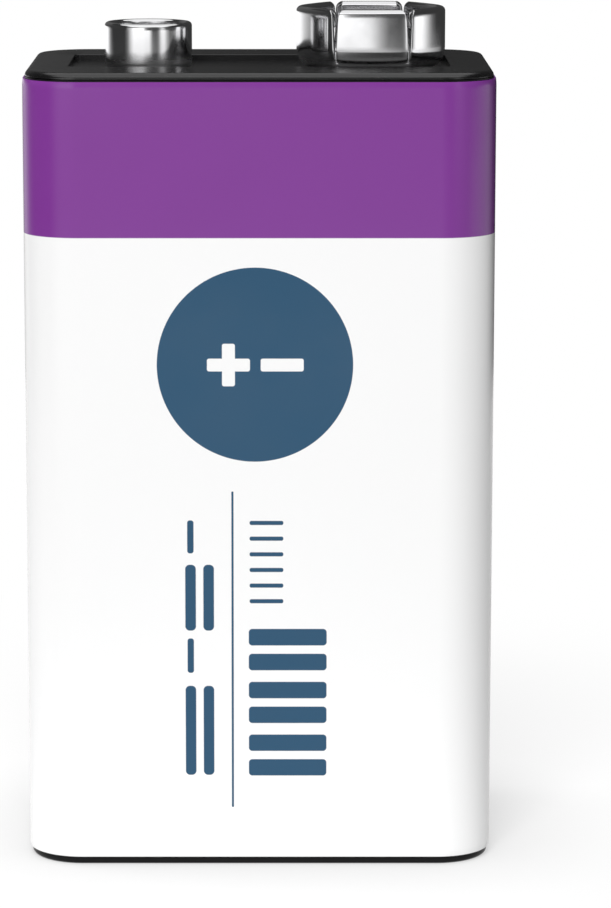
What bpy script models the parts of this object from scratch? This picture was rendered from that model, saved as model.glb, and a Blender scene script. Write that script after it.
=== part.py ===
"""A nine volt block battery, modelled piece by piece as it comes apart on a bench.

Six round 1.5 V cells stand in two rows of three and are welded in series. Cards of
fibre close the stack at both ends, a paper liner wraps it, and a black steel case with
a folded foot holds it. A moulded black cap plugs the case and carries the two snap
terminals on hollow rivets. A printed film is wrapped round the outside.

The frame has +Z up, the origin at the middle of the underside, the printed front
towards -Y and the positive terminal towards -X.
"""

import math

import bmesh
import bpy
from mathutils import Matrix

MM = 0.001

# Cells. Their size and spacing set the width and the depth of everything round them.
CELL_DIAMETER = 8.1 * MM
CELL_LENGTH = 40.85 * MM
CELL_GAP_X = 0.53 * MM
CELL_GAP_Y = 0.16 * MM
CELL_EDGE = 0.45 * MM
CELL_PIP_RADIUS = 1.7 * MM
CELL_PIP_HEIGHT = 0.65 * MM
CELL_SEAL_DEPTH = 0.3 * MM
CELL_RIM_WIDTH = 0.75 * MM
CELL_GROOVE_DROP = 2.2 * MM
CELL_GROOVE_DEPTH = 0.22 * MM
CELL_GROOVE_HEIGHT = 0.7 * MM

# Layers round the cells, from the inside out.
LINER_THICKNESS = 0.12 * MM
CASE_SHEET = 0.2 * MM
LABEL_FILM = 0.1 * MM
FIT = 0.05 * MM
CORNER_RADIUS = 3.15 * MM

# The case's foot, and where the label starts and ends on the case.
CASE_INNER_BEND = 0.05 * MM
CASE_LIP = 1.6 * MM
LABEL_FOOT_MARGIN = 0.47 * MM
LABEL_TOP_MARGIN = 0.09 * MM

# Layers of the stack along Z.
BOTTOM_PLATE_THICKNESS = 1.0 * MM
CARD_THICKNESS = 0.25 * MM
LINK_THICKNESS = 0.15 * MM
LINK_WIDTH = 3.2 * MM
LINK_OVERHANG = 1.5 * MM
LEAD_WIDTH = 3.0 * MM
LEAD_RISER_PLACE = 2.7 * MM
LEAD_WINDOW_MARGIN = 0.4 * MM

# The moulded cap.
CAP_DECK_THICKNESS = 0.94 * MM
CAP_FLANGE_THICKNESS = 0.35 * MM
CAP_RIM_RADIUS = 0.3 * MM
CAP_SKIRT_WALL = 0.8 * MM
RECESS_DEPTH = 0.39 * MM
RECESS_END_ROOM = 0.16 * MM
RECESS_SIDE_ROOM = 0.91 * MM
RECESS_CORNER = 0.3 * MM

# The snap terminals.
TERMINAL_SPACING = 12.7 * MM
SNAP_SHEET = 0.18 * MM
STUD_RADIUS = 2.49 * MM
STUD_HEIGHT = 2.57 * MM
STUD_LIP_RADIUS = 0.22 * MM
STUD_FOOT_TURN = 0.6 * MM
STUD_FOOT_RISE = 0.96 * MM
STUD_DISH_DEPTH = 1.1 * MM
SOCKET_RADIUS = 4.26 * MM
SOCKET_FLAT = 4.05 * MM
SOCKET_SIDE_BOW = 15.0 * MM
SOCKET_HEIGHT = 3.48 * MM
SOCKET_LIP_RADIUS = 0.3 * MM
SOCKET_HEM = 0.75 * MM
SOCKET_HEM_GAP = 0.05 * MM
SOCKET_FOOT_TURN = 0.96 * MM
SOCKET_FOOT_RISE = 1.16 * MM
SLOT_ANGLE = 30.0
SLOT_TOP_WIDTH = 0.39 * MM
SLOT_FOOT_WIDTH = 0.07 * MM
SLOT_FLOOR = 0.48 * MM
OUTER_CORNER_ROUNDING = 0.33 * MM
SLOT_CORNER_ROUNDING = 0.04 * MM

# The hollow rivets that clamp each terminal and its lead to the cap.
RIVET_RADIUS = 0.75 * MM
RIVET_BORE = 0.45 * MM
RIVET_FLANGE_RADIUS = 1.25 * MM
RIVET_FLANGE_THICKNESS = 0.2 * MM
RIVET_CARD_GAP = 0.2 * MM

# Facets.
CORNER_SEGMENTS = 8
CELL_STEPS = 20
RIVET_STEPS = 24
STUD_STEPS = 36
SOCKET_STEPS = 48
HEM_STEPS = 4

# Places along X and Y that follow from the sizes above.
CELL_RADIUS = CELL_DIAMETER / 2
CELL_PITCH_X = CELL_DIAMETER + CELL_GAP_X
CELL_PITCH_Y = CELL_DIAMETER + CELL_GAP_Y
LINER_INSIDE = FIT
CASE_INSIDE = LINER_INSIDE + LINER_THICKNESS + FIT
CASE_OUTSIDE = CASE_INSIDE + CASE_SHEET
LABEL_INSIDE = CASE_OUTSIDE + FIT
LABEL_OUTSIDE = LABEL_INSIDE + LABEL_FILM
RIVET_HOLE = RIVET_RADIUS + FIT
RECESS_LENGTH = TERMINAL_SPACING + 2 * (SOCKET_RADIUS + RECESS_END_ROOM)
RECESS_WIDTH = 2 * (SOCKET_RADIUS - SOCKET_FOOT_TURN + RECESS_SIDE_ROOM)

# Heights that follow from the sizes above, from the underside to the terminals.
BOTTOM_PLATE_Z = CASE_SHEET + FIT
BOTTOM_CARD_Z = BOTTOM_PLATE_Z + BOTTOM_PLATE_THICKNESS + FIT
BOTTOM_LINK_Z = BOTTOM_CARD_Z + CARD_THICKNESS + FIT
CELL_Z = BOTTOM_LINK_Z + LINK_THICKNESS + FIT
TOP_LINK_Z = CELL_Z + CELL_LENGTH + FIT
TOP_CARD_Z = TOP_LINK_Z + LINK_THICKNESS + FIT
TOP_CARD_TOP = TOP_CARD_Z + CARD_THICKNESS
RIVET_TAIL_Z = TOP_CARD_TOP + RIVET_CARD_GAP
LEAD_Z = RIVET_TAIL_Z + RIVET_FLANGE_THICKNESS + FIT
CAP_DECK_Z = LEAD_Z + LINK_THICKNESS + FIT
RECESS_Z = CAP_DECK_Z + CAP_DECK_THICKNESS
CAP_TOP = RECESS_Z + RECESS_DEPTH
CAP_FLANGE_Z = CAP_TOP - CAP_FLANGE_THICKNESS
CASE_TOP = CAP_FLANGE_Z - FIT
SNAP_Z = RECESS_Z + FIT
STUD_FLOOR = STUD_HEIGHT - STUD_DISH_DEPTH


def clear_scene():
    for thing in list(bpy.data.objects):
        bpy.data.objects.remove(thing, do_unlink=True)


def new_collection(name):
    collection = bpy.data.collections.new(name)
    bpy.context.scene.collection.children.link(collection)
    return collection


def new_material(name, colour, metallic, roughness):
    material = bpy.data.materials.new(name)
    material.use_nodes = True
    shader = material.node_tree.nodes["Principled BSDF"]
    shader.inputs["Base Color"].default_value = (*colour, 1.0)
    shader.inputs["Metallic"].default_value = metallic
    shader.inputs["Roughness"].default_value = roughness
    material.diffuse_color = (*colour, 1.0)
    return material


def new_object(name, bm, material, collection):
    """Hands a finished bmesh over to an object of its own."""
    mesh = bpy.data.meshes.new(name)
    bm.to_mesh(mesh)
    bm.free()
    mesh.shade_smooth()
    mesh.set_sharp_from_angle(angle=math.radians(30))
    thing = bpy.data.objects.new(name, mesh)
    collection.objects.link(thing)
    if material:
        mesh.materials.append(material)
    return thing


def new_cutter(name, bm):
    cutter = new_object(name, bm, None, CUTTERS)
    cutter.hide_render = True
    cutter.display_type = "WIRE"
    return cutter


def cut(thing, *cutters):
    for cutter in cutters:
        modifier = thing.modifiers.new(cutter.name, "BOOLEAN")
        modifier.operation = "DIFFERENCE"
        modifier.solver = "EXACT"
        modifier.object = cutter


def box(width, depth, low, high):
    """A box centred on the Z axis, from one height to another."""
    bm = bmesh.new()
    size = Matrix.Diagonal((width, depth, high - low, 1.0))
    place = Matrix.Translation((0.0, 0.0, (low + high) / 2))
    bmesh.ops.create_cube(bm, size=1.0, matrix=place @ size)
    return bm


def rounded_box(width, depth, radius, low, high, segments=CORNER_SEGMENTS):
    """A box with its four upright edges rounded."""
    bm = box(width, depth, low, high)
    upright = [e for e in bm.edges if abs(e.verts[0].co.z - e.verts[1].co.z) > 1e-9]
    bmesh.ops.bevel(
        bm,
        geom=upright,
        offset=radius,
        segments=segments,
        profile=0.5,
        affect="EDGES",
        material=-1,
    )
    return bm


def block(offset, low, high):
    """A rounded box whose sides stand this far out from the group of six cells."""
    width = 2 * CELL_PITCH_X + CELL_DIAMETER + 2 * offset
    depth = CELL_PITCH_Y + CELL_DIAMETER + 2 * offset
    return rounded_box(width, depth, CORNER_RADIUS - LABEL_OUTSIDE + offset, low, high)


def end_face(bm, upward):
    """The large flat face that closes a block at its top or at its foot."""
    pick = max if upward else min
    return pick(bm.faces, key=lambda f: f.normal.z * f.calc_area())


def bevel_round(bm, face, radius, segments):
    bmesh.ops.bevel(
        bm,
        geom=list(face.edges),
        offset=radius,
        segments=segments,
        profile=0.5,
        affect="EDGES",
        material=-1,
    )


def inset(bm, face, width):
    bmesh.ops.inset_region(bm, faces=[face], thickness=width, use_even_offset=True)


def extrude_to(bm, face, height):
    """Draws a flat face out, or pushes it in, to a height, and gives it back."""
    made = bmesh.ops.extrude_discrete_faces(bm, faces=[face])["faces"][0]
    for vert in made.verts:
        vert.co.z = height
    return made


def cylinder(radius, low, high, steps, place=(0.0, 0.0)):
    bm = bmesh.new()
    bmesh.ops.create_cone(
        bm,
        cap_ends=True,
        segments=steps,
        radius1=radius,
        radius2=radius,
        depth=high - low,
        matrix=Matrix.Translation((*place, (low + high) / 2)),
    )
    return bm


def thicken(thing, thickness):
    """Gives an open surface its sheet, on the inner side."""
    modifier = thing.modifiers.new("Sheet", "SOLIDIFY")
    modifier.thickness = thickness
    modifier.offset = -1.0
    modifier.use_even_offset = True


def arc(centre, radii, start, end, steps):
    """Points (r, z) on part of an ellipse, the angles in degrees from +r towards +z."""
    points = []
    for i in range(steps + 1):
        angle = math.radians(start + (end - start) * i / steps)
        r = centre[0] + radii[0] * math.cos(angle)
        z = centre[1] + radii[1] * math.sin(angle)
        points.append((r, z))
    return points


def turned(name, profile, steps, closed, material):
    """A profile of (r, z) points turned about Z. A closed one leaves a bore."""
    bm = bmesh.new()
    verts = [bm.verts.new((r, 0.0, z)) for r, z in profile]
    ends = verts[1:] + verts[:1] if closed else verts[1:]
    for a, b in zip(verts, ends):
        bm.edges.new((a, b))
    thing = new_object(name, bm, material, PARTS)
    screw = thing.modifiers.new("Turn", "SCREW")
    screw.axis = "Z"
    screw.steps = steps
    screw.render_steps = steps
    screw.use_merge_vertices = not closed
    screw.merge_threshold = 0.01 * MM
    screw.use_smooth_shade = True
    return thing


def spun(profile, steps):
    """The same turning done on the spot, for a shape that is then pressed out of round."""
    bm = bmesh.new()
    verts = [bm.verts.new((r, 0.0, z)) for r, z in profile]
    edges = [bm.edges.new(pair) for pair in zip(verts, verts[1:] + verts[:1])]
    bmesh.ops.spin(
        bm,
        geom=verts + edges,
        axis=(0.0, 0.0, 1.0),
        cent=(0.0, 0.0, 0.0),
        angle=math.tau,
        steps=steps,
        use_merge=True,
    )
    bmesh.ops.recalc_face_normals(bm, faces=list(bm.faces))
    return bm


def sleeve(name, inside, outside, low, high, material):
    """A plain tube round the cells, open at both ends."""
    bm = block(outside, low, high)
    ends = [end_face(bm, True), end_face(bm, False)]
    bmesh.ops.delete(bm, geom=ends, context="FACES_ONLY")
    thing = new_object(name, bm, material, PARTS)
    thicken(thing, outside - inside)
    return thing


def make_label():
    low = LABEL_FOOT_MARGIN
    high = CASE_TOP - LABEL_TOP_MARGIN
    film = new_material("label_film", (0.86, 0.86, 0.86), 0.0, 0.35)
    sleeve("label_sleeve", LABEL_INSIDE, LABEL_OUTSIDE, low, high, film)


def make_liner():
    low = BOTTOM_CARD_Z + CARD_THICKNESS + FIT
    high = TOP_CARD_Z - FIT
    paper = new_material("liner_paper", (0.55, 0.45, 0.32), 0.0, 0.8)
    outside = LINER_INSIDE + LINER_THICKNESS
    sleeve("cell_liner", LINER_INSIDE, outside, low, high, paper)


def make_case():
    """The steel case: open at the top, its foot folded in to hold the bottom plate."""
    bm = block(CASE_OUTSIDE, 0.0, CASE_TOP)
    bmesh.ops.delete(bm, geom=[end_face(bm, True)], context="FACES_ONLY")
    bend = CASE_SHEET + CASE_INNER_BEND
    bevel_round(bm, end_face(bm, False), bend, 4)
    inset(bm, end_face(bm, False), CASE_LIP - bend)
    bmesh.ops.delete(bm, geom=[end_face(bm, False)], context="FACES_ONLY")
    steel = new_material("case_lacquer", (0.012, 0.012, 0.013), 0.0, 0.3)
    thicken(new_object("case_sleeve", bm, steel, PARTS), CASE_SHEET)


def make_bottom_plate():
    """A moulded board that closes the case and shows through the folded foot."""
    high = BOTTOM_PLATE_Z + BOTTOM_PLATE_THICKNESS
    bm = block(CASE_INSIDE - FIT, BOTTOM_PLATE_Z, high)
    board = new_material("bottom_board", (0.02, 0.02, 0.021), 0.0, 0.5)
    new_object("bottom_plate", bm, board, PARTS)


def make_cards():
    """The fibre cards under and over the cells. The leads pass through the upper one."""
    fibre = new_material("fibre_card", (0.42, 0.3, 0.17), 0.0, 0.85)
    bm = block(CASE_INSIDE - FIT, BOTTOM_CARD_Z, BOTTOM_CARD_Z + CARD_THICKNESS)
    new_object("bottom_insulator", bm, fibre, PARTS)
    bm = block(CASE_INSIDE - FIT, TOP_CARD_Z, TOP_CARD_TOP)
    card = new_object("top_insulator", bm, fibre, PARTS)
    for side in (-1, 1):
        width = LINK_THICKNESS + 2 * LEAD_WINDOW_MARGIN
        depth = LEAD_WIDTH + 2 * LEAD_WINDOW_MARGIN
        low = TOP_CARD_Z - CARD_THICKNESS
        high = TOP_CARD_TOP + CARD_THICKNESS
        window = new_cutter(f"lead_window_{side}", box(width, depth, low, high))
        riser = Matrix.Translation((LEAD_RISER_PLACE, 0.0, 0.0))
        window.matrix_world = lead_place(side) @ riser
        cut(card, window)


def cell_profile():
    """The can's outline from its positive pip down to its flat negative end."""
    seal = CELL_LENGTH - CELL_PIP_HEIGHT
    rim = seal + CELL_SEAL_DEPTH
    groove = CELL_LENGTH - CELL_GROOVE_DROP
    edge = (CELL_EDGE, CELL_EDGE)
    corner = CELL_RADIUS - CELL_EDGE
    pip = CELL_PIP_RADIUS
    profile = [(0.0, CELL_LENGTH), (pip * 0.9, CELL_LENGTH), (pip, CELL_LENGTH - pip * 0.1)]
    profile += [(pip, seal), (CELL_RADIUS - CELL_RIM_WIDTH, seal)]
    profile += [(CELL_RADIUS - CELL_RIM_WIDTH, rim)]
    profile += arc((corner, rim - CELL_EDGE), edge, 90, 0, 3)
    profile += [(CELL_RADIUS, groove + CELL_GROOVE_HEIGHT / 2)]
    profile += [(CELL_RADIUS - CELL_GROOVE_DEPTH, groove)]
    profile += [(CELL_RADIUS, groove - CELL_GROOVE_HEIGHT / 2)]
    profile += arc((corner, CELL_EDGE), edge, 0, -90, 3)
    profile += [(0.0, 0.0)]
    return profile


def cell_places():
    """Where the cells stand in series order, and which way each positive end points."""
    x, y = CELL_PITCH_X, CELL_PITCH_Y / 2
    grid = [(-x, -y), (-x, y), (0.0, y), (0.0, -y), (x, -y), (x, y)]
    return [(place, i % 2 == 0) for i, place in enumerate(grid)]


def make_cells():
    can = new_material("cell_can", (0.55, 0.56, 0.57), 1.0, 0.3)
    for i, ((x, y), upward) in enumerate(cell_places()):
        cell = turned(f"cell_{i + 1}", cell_profile(), CELL_STEPS, False, can)
        cell.location = (x, y, CELL_Z if upward else CELL_Z + CELL_LENGTH)
        cell.rotation_euler = (0.0 if upward else math.pi, 0.0, 0.0)


def make_links():
    """Nickel strips from each cell to the next, below and above by turns."""
    nickel = new_material("nickel_strip", (0.6, 0.58, 0.52), 1.0, 0.35)
    places = [place for place, _ in cell_places()]
    for i, (a, b) in enumerate(zip(places, places[1:])):
        low = BOTTOM_LINK_Z if i % 2 == 0 else TOP_LINK_Z
        width = abs(a[0] - b[0]) + LINK_WIDTH if a[1] == b[1] else LINK_WIDTH
        depth = abs(a[1] - b[1]) + LINK_WIDTH if a[0] == b[0] else LINK_WIDTH
        high = low + LINK_THICKNESS
        bm = rounded_box(width, depth, LINK_WIDTH * 0.45, low, high, 4)
        link = new_object(f"cell_link_{i + 1}", bm, nickel, PARTS)
        link.location = ((a[0] + b[0]) / 2, (a[1] + b[1]) / 2, 0.0)


def terminal_x(side):
    return side * TERMINAL_SPACING / 2


def lead_place(side):
    """A frame at a rivet, its X axis along the way to the cell that the lead joins."""
    end = cell_places()[0 if side < 0 else -1][0]
    angle = math.atan2(end[1], end[0] - terminal_x(side))
    return Matrix.Translation((terminal_x(side), 0.0, 0.0)) @ Matrix.Rotation(angle, 4, "Z")


def lead_length():
    end = cell_places()[-1][0]
    return math.hypot(end[0] - terminal_x(1), end[1])


def strip(path, width, corner):
    """A flat strip along (x, z) points, its ends rounded, as an open surface."""
    bm = bmesh.new()
    first = [bm.verts.new((path[0][0], y, path[0][1])) for y in (-width / 2, width / 2)]
    edge = bm.edges.new(first)
    ends = list(first)
    for (x0, z0), (x1, z1) in zip(path, path[1:]):
        made = bmesh.ops.extrude_edge_only(bm, edges=[edge])["geom"]
        moved = [g for g in made if isinstance(g, bmesh.types.BMVert)]
        bmesh.ops.translate(bm, verts=moved, vec=(x1 - x0, 0.0, z1 - z0))
        edge = next(g for g in made if isinstance(g, bmesh.types.BMEdge)
                    and set(g.verts) == set(moved))
    ends += list(edge.verts)
    bmesh.ops.recalc_face_normals(bm, faces=list(bm.faces))
    bmesh.ops.bevel(
        bm,
        geom=ends,
        offset=corner,
        segments=4,
        profile=0.5,
        affect="VERTICES",
        material=-1,
    )
    return bm


def make_lead(name, side, material):
    """A bent strip: it is clamped under the cap, steps down and lies on its cell."""
    low = TOP_LINK_Z + LINK_THICKNESS / 2
    high = LEAD_Z + LINK_THICKNESS / 2
    path = [(-LEAD_WIDTH / 2, high), (LEAD_RISER_PLACE, high), (LEAD_RISER_PLACE, low)]
    path += [(lead_length() + LINK_OVERHANG, low)]
    bm = strip(path, LEAD_WIDTH, LEAD_WIDTH * 0.35)
    lead = new_object(name, bm, material, PARTS)
    lead.matrix_world = lead_place(side)
    thicken(lead, LINK_THICKNESS)
    lead.modifiers["Sheet"].offset = 0.0
    span = (LEAD_Z - LINK_THICKNESS, LEAD_Z + 2 * LINK_THICKNESS)
    hole = cylinder(RIVET_HOLE, *span, RIVET_STEPS, (terminal_x(side), 0.0))
    cut(lead, new_cutter(f"{name}_hole", hole))


def make_leads():
    brass = new_material("lead_strip", (0.62, 0.5, 0.28), 1.0, 0.35)
    make_lead("positive_lead", -1, brass)
    make_lead("negative_lead", 1, brass)


def make_cap():
    """The moulded cap: a rounded flange over the case, a skirt inside it, a recess."""
    bm = block(CASE_OUTSIDE, CAP_FLANGE_Z, CAP_TOP)
    rim = min(CAP_RIM_RADIUS, 0.9 * CAP_FLANGE_THICKNESS)
    bevel_round(bm, end_face(bm, True), rim, 5)
    foot = end_face(bm, False)
    inset(bm, foot, CASE_SHEET + FIT)
    foot = extrude_to(bm, foot, TOP_CARD_TOP + FIT)
    inset(bm, foot, CAP_SKIRT_WALL)
    extrude_to(bm, foot, CAP_DECK_Z)
    plastic = new_material("cap_plastic", (0.02, 0.02, 0.021), 0.0, 0.22)
    cap = new_object("top_cap", bm, plastic, PARTS)
    above = CAP_TOP + RECESS_DEPTH
    recess = rounded_box(RECESS_LENGTH, RECESS_WIDTH, RECESS_CORNER, RECESS_Z, above, 3)
    cut(cap, new_cutter("cap_recess", recess))
    for side in (-1, 1):
        span = (CAP_DECK_Z - CAP_DECK_THICKNESS, above)
        hole = cylinder(RIVET_HOLE, *span, RIVET_STEPS, (terminal_x(side), 0.0))
        cut(cap, new_cutter(f"cap_hole_{side}", hole))


def lip(radius, height, lip_radius, sheet):
    """The sheet rolled over at a snap's top: its outer and inner arcs as (r, z)."""
    centre = (radius - lip_radius, height - lip_radius)
    outer = arc(centre, (lip_radius, lip_radius), 180, 0, 8)
    bend = lip_radius - sheet
    inner = arc(centre, (bend, bend), 0, 180, 3)
    return outer, inner


def foot_arc(radius, turn, rise, sheet):
    """The rounded foot of a snap: its outer and inner quarter ellipses as (r, z)."""
    centre = (radius - turn, rise)
    outer = arc(centre, (turn, rise), 0, -90, 5)
    inner = arc(centre, (turn - sheet, rise - sheet), -90, 0, 4)
    return outer, inner


def make_stud():
    """The positive snap: a drawn stud whose rim rolls inwards into a deep dish."""
    over, under = lip(STUD_RADIUS, STUD_HEIGHT, STUD_LIP_RADIUS, SNAP_SHEET)
    foot, inner_foot = foot_arc(STUD_RADIUS, STUD_FOOT_TURN, STUD_FOOT_RISE, SNAP_SHEET)
    dish = STUD_RADIUS - 2 * STUD_LIP_RADIUS
    fillet = SNAP_SHEET
    profile = [(RIVET_HOLE, STUD_FLOOR)]
    profile += arc((dish - fillet, STUD_FLOOR + fillet), (fillet, fillet), -90, 0, 3)
    profile += over + foot + [(foot[-1][0] - SNAP_SHEET, 0.0)] + inner_foot[1:]
    profile += under
    profile += [(dish + SNAP_SHEET, STUD_FLOOR - SNAP_SHEET)]
    profile += [(RIVET_HOLE, STUD_FLOOR - SNAP_SHEET)]
    steel = new_material("stud_plating", (0.72, 0.72, 0.73), 1.0, 0.12)
    stud = turned("positive_snap", profile, STUD_STEPS, True, steel)
    stud.location = (terminal_x(-1), 0.0, SNAP_Z)


def side_distance(turn):
    """How far a bowed side is from the axis, this far round from its own middle."""
    centre = SOCKET_SIDE_BOW - SOCKET_FLAT
    across = centre * math.sin(turn)
    return math.sqrt(SOCKET_SIDE_BOW**2 - across**2) - centre * math.cos(turn)


def hexagon_radius(angle):
    """The socket's wall in plan: six bowed sides that face -Y, +Y and between.

    A soft minimum of the sides rounds the corners: the two at the ends of the X axis
    widely, and those that the slots open hardly at all.
    """
    outer = abs(math.cos(angle)) ** 8
    soft = SLOT_CORNER_ROUNDING + (OUTER_CORNER_ROUNDING - SLOT_CORNER_ROUNDING) * outer
    turns = [angle - math.radians(side) for side in range(30, 390, 60)]
    facing = [side_distance(turn) for turn in turns if math.cos(turn) > 0.0]
    near = min(facing)
    return near - soft * math.log(sum(math.exp((near - far) / soft) for far in facing))


def make_hexagonal(bm):
    """Presses the round cup into six sides, and leaves its middle round."""
    round_to = 0.4 * SOCKET_RADIUS
    full_from = SOCKET_RADIUS - 1.5 * SOCKET_FOOT_TURN
    for vert in bm.verts:
        radius = math.hypot(vert.co.x, vert.co.y)
        share = min(max((radius - round_to) / (full_from - round_to), 0.0), 1.0)
        pressed = hexagon_radius(math.atan2(vert.co.y, vert.co.x)) / SOCKET_RADIUS
        factor = 1.0 + (pressed - 1.0) * share
        vert.co.x *= factor
        vert.co.y *= factor


def slot_cutter(angle):
    """A wedge, wide at the top and nearly shut at its foot, across the socket's wall."""
    low, high = SLOT_FLOOR, SOCKET_HEIGHT * 1.05
    reach = SOCKET_RADIUS - SOCKET_FOOT_TURN - SNAP_SHEET
    depth = SOCKET_RADIUS * 1.2 - reach
    bm = box(1.0, depth, low, high)
    for vert in bm.verts:
        top_share = (vert.co.z - low) / (SOCKET_HEIGHT - low)
        width = SLOT_FOOT_WIDTH + (SLOT_TOP_WIDTH - SLOT_FOOT_WIDTH) * top_share
        vert.co.x *= width
        vert.co.y += reach + depth / 2
    cutter = new_cutter(f"slot_{angle:.0f}", bm)
    cutter.location = (terminal_x(1), 0.0, SNAP_Z)
    cutter.rotation_euler = (0.0, 0.0, math.radians(angle))
    return cutter


def hem_curve():
    """The leg of the rolled lip: down inside the wall and outwards, to end beside it."""
    start = SOCKET_RADIUS - 2 * SOCKET_LIP_RADIUS
    lean = 2 * (SOCKET_LIP_RADIUS - SNAP_SHEET) - SOCKET_HEM_GAP
    top = SOCKET_HEIGHT - SOCKET_LIP_RADIUS
    shares = [i / HEM_STEPS for i in range(HEM_STEPS + 1)]
    return [(start + lean * share**2, top - SOCKET_HEM * share) for share in shares]


def make_socket():
    """The negative snap: a six-sided cup with a hemmed lip, slit into springy petals."""
    over, under = lip(SOCKET_RADIUS, SOCKET_HEIGHT, SOCKET_LIP_RADIUS, SNAP_SHEET)
    turn, rise = SOCKET_FOOT_TURN, SOCKET_FOOT_RISE
    foot, inner_foot = foot_arc(SOCKET_RADIUS, turn, rise, SNAP_SHEET)
    hem = hem_curve()
    profile = hem[::-1] + over[1:] + foot + [(RIVET_HOLE, 0.0)]
    profile += [(RIVET_HOLE, SNAP_SHEET)] + inner_foot + under
    profile += [(r + SNAP_SHEET, z) for r, z in hem[1:]]
    bm = spun(profile, SOCKET_STEPS)
    make_hexagonal(bm)
    steel = new_material("socket_plating", (0.74, 0.74, 0.75), 1.0, 0.1)
    socket = new_object("negative_snap", bm, steel, PARTS)
    socket.location = (terminal_x(1), 0.0, SNAP_Z)
    for side in (0, 180):
        for lean in (-SLOT_ANGLE, SLOT_ANGLE):
            cut(socket, slot_cutter(side + lean))


def make_rivet(name, side, seat, material):
    """A hollow rivet: its head on the snap's floor, its tail spread under the lead."""
    head = seat + FIT
    top = head + RIVET_FLANGE_THICKNESS
    lead_under = RIVET_TAIL_Z + RIVET_FLANGE_THICKNESS
    edge = (RIVET_FLANGE_THICKNESS / 2, RIVET_FLANGE_THICKNESS / 2)
    rim = RIVET_FLANGE_RADIUS - edge[0]
    profile = [(RIVET_BORE, top)] + arc((rim, top - edge[1]), edge, 90, -90, 4)
    profile += [(RIVET_RADIUS, head), (RIVET_RADIUS, lead_under)]
    profile += arc((rim, lead_under - edge[1]), edge, 90, -90, 4)
    profile += [(RIVET_BORE, RIVET_TAIL_Z)]
    rivet = turned(name, profile, RIVET_STEPS, True, material)
    rivet.location = (terminal_x(side), 0.0, 0.0)


def make_rivets():
    tin = new_material("rivet_plating", (0.7, 0.69, 0.66), 1.0, 0.2)
    make_rivet("positive_rivet", -1, SNAP_Z + STUD_FLOOR, tin)
    make_rivet("negative_rivet", 1, SNAP_Z + SNAP_SHEET, tin)


clear_scene()
PARTS = new_collection("nine_volt_battery")
CUTTERS = new_collection("cutters")
make_label()
make_case()
make_liner()
make_bottom_plate()
make_cards()
make_cells()
make_links()
make_leads()
make_cap()
make_stud()
make_socket()
make_rivets()
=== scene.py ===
"""The looks of a nine volt block battery: finer shells, printed film, plating and a plain studio.

The frame has +Z up, the printed front towards -Y and the positive stud towards -X.
"""

import math

import bmesh
import bpy
from mathutils import Matrix, Vector


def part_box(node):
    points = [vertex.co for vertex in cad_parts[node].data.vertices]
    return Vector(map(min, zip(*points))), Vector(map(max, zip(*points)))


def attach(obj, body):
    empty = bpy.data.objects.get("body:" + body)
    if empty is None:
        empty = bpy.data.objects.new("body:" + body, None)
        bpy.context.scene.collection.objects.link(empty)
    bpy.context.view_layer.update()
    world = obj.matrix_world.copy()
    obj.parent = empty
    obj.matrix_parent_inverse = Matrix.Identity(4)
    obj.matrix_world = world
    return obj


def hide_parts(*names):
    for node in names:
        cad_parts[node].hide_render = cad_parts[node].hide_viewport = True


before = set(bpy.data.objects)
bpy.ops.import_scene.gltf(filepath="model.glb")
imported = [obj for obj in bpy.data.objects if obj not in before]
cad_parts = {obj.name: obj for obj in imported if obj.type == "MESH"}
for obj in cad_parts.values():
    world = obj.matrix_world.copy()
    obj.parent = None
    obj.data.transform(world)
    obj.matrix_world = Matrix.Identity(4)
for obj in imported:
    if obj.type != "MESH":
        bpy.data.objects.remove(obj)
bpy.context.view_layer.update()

MM = 0.001

# The battery's outline, read off the frame but for the radius of its corners.
LABEL_LOW, LABEL_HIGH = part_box("label_sleeve")
CASE_LOW, CASE_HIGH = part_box("case_sleeve")
STUD_LOW, STUD_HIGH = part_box("positive_snap")
SOCKET_LOW, SOCKET_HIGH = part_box("negative_snap")
CAP_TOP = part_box("top_cap")[1].z
WIDTH = LABEL_HIGH.x - LABEL_LOW.x
DEPTH = LABEL_HIGH.y - LABEL_LOW.y
CORNER_RADIUS = 3.15 * MM

# The film, and its lap at the back, which sinks a little into the film under it.
FILM = 0.1 * MM
FILM_SHOULDER = 0.4 * MM
FILM_SHOULDER_LEAN = 0.03 * MM
LAP_WIDTH = 3.4 * MM
LAP_THICKNESS = 0.06 * MM
LAP_STANDS_OUT = 0.055 * MM
LAP_ROUNDING = 0.025 * MM

# The case under the film.
CASE_INSET = CASE_LOW.x - LABEL_LOW.x
CASE_SHEET = 0.2 * MM
CASE_BEND = 0.25 * MM
CASE_LIP = 1.6 * MM

# The cap and its recess. The margin is a ring of the flat's own, so that it shades flat.
CAP_RIM_RADIUS = 0.34 * MM
CAP_FLAT_MARGIN = 0.05 * MM
CAP_SKIRT_INSET = 0.4 * MM
CAP_FLANGE = 0.35 * MM
RECESS_DEPTH = 0.39 * MM
RECESS_LENGTH = 21.54 * MM
RECESS_WIDTH = 8.42 * MM
RECESS_CORNER = 0.35 * MM
RECESS_EDGE = 0.03 * MM

# Both snap terminals.
SNAP_SHEET = 0.18 * MM
SNAP_Z = STUD_LOW.z
RIVET_HOLE = 0.8 * MM

# The positive stud.
STUD_X = (STUD_LOW.x + STUD_HIGH.x) / 2
STUD_RADIUS = 2.49 * MM
STUD_HEIGHT = STUD_HIGH.z - SNAP_Z
STUD_LIP_RADIUS = 0.22 * MM
STUD_FOOT_TURN = 0.25 * MM
STUD_FOOT_RISE = 0.35 * MM
STUD_FOOT_FULLNESS = 2.0
STUD_DISH_DEPTH = 1.1 * MM
STUD_DISH_FLOOR = STUD_HEIGHT - STUD_DISH_DEPTH
STUD_DISH_FILLET = 0.25 * MM

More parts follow.
